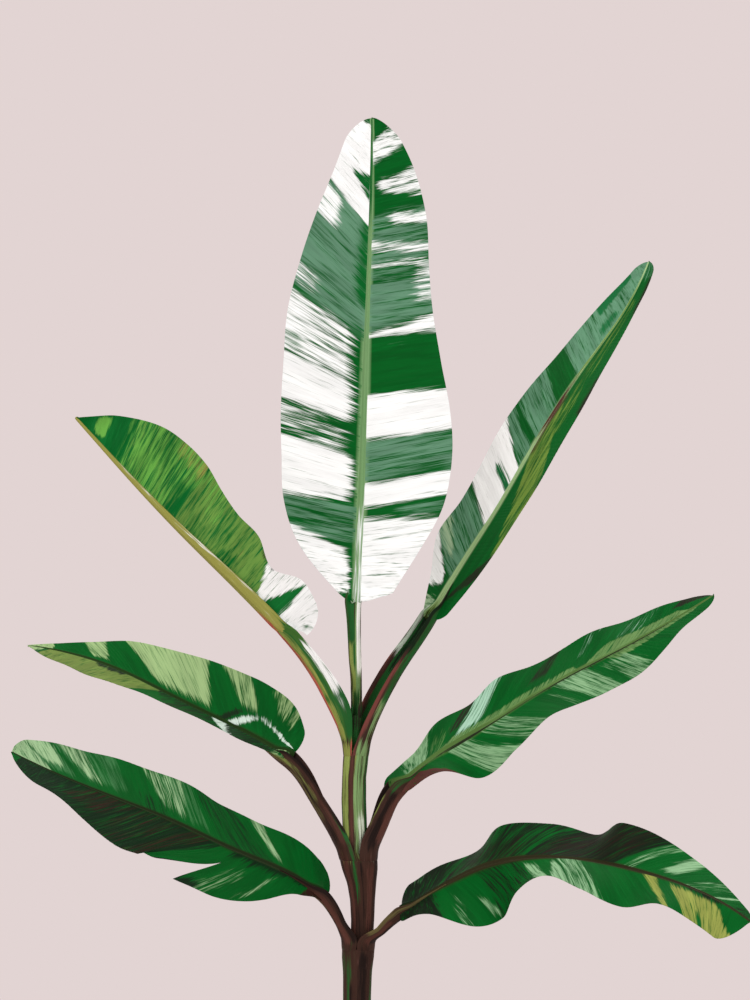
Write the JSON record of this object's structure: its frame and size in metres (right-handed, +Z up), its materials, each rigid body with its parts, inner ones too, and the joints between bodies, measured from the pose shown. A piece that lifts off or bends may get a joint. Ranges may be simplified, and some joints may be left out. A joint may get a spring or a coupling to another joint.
{
  "type": "variegated banana plant",
  "caption": "Young variegated banana plant, rooted: a pseudostem of wrapped sheaths with grooved stalks and broad blades in deep green, grey-green and cream.",
  "frame": {"origin": "middle of the flat cut under the pseudostem, at ground level", "axes": "+Z up along the pseudostem, +X to the right and +Y away from the picture's viewer"},
  "size_m": [0.9017, 0.6477, 1.306],
  "materials": {
    "sheath_brown": "very dark brown fibrous sheath, satin",
    "stalk_maroon": "maroon-brown leaf stalk skin, satin",
    "stalk_green": "green leaf stalk skin with maroon and cream margins, satin",
    "leaf_deep_green": "deep green leaf with pale streaks, semi-gloss",
    "leaf_fresh_green": "fresh green leaf with yellow-green patches, semi-gloss",
    "leaf_grey_green": "green leaf with grey-green and white bands, semi-gloss",
    "leaf_cream": "cream-white leaf with grey-green and deep green bands, semi-gloss"
  },
  "bodies": {
    "root": {"pseudostem": "sheath_brown", "stalk_lower_left": "stalk_maroon", "blade_lower_left": "leaf_deep_green", "stalk_lower_right": "stalk_maroon", "blade_lower_right": "leaf_deep_green", "stalk_middle_left": "stalk_maroon", "blade_middle_left": "leaf_fresh_green", "stalk_middle_right": "stalk_maroon", "blade_middle_right": "leaf_deep_green", "stalk_upper_left": "stalk_green", "blade_upper_left": "leaf_fresh_green", "stalk_upper_right": "stalk_green", "blade_upper_right": "leaf_grey_green", "stalk_centre": "stalk_green", "blade_centre": "leaf_cream"}
  },
  "joints": []
}
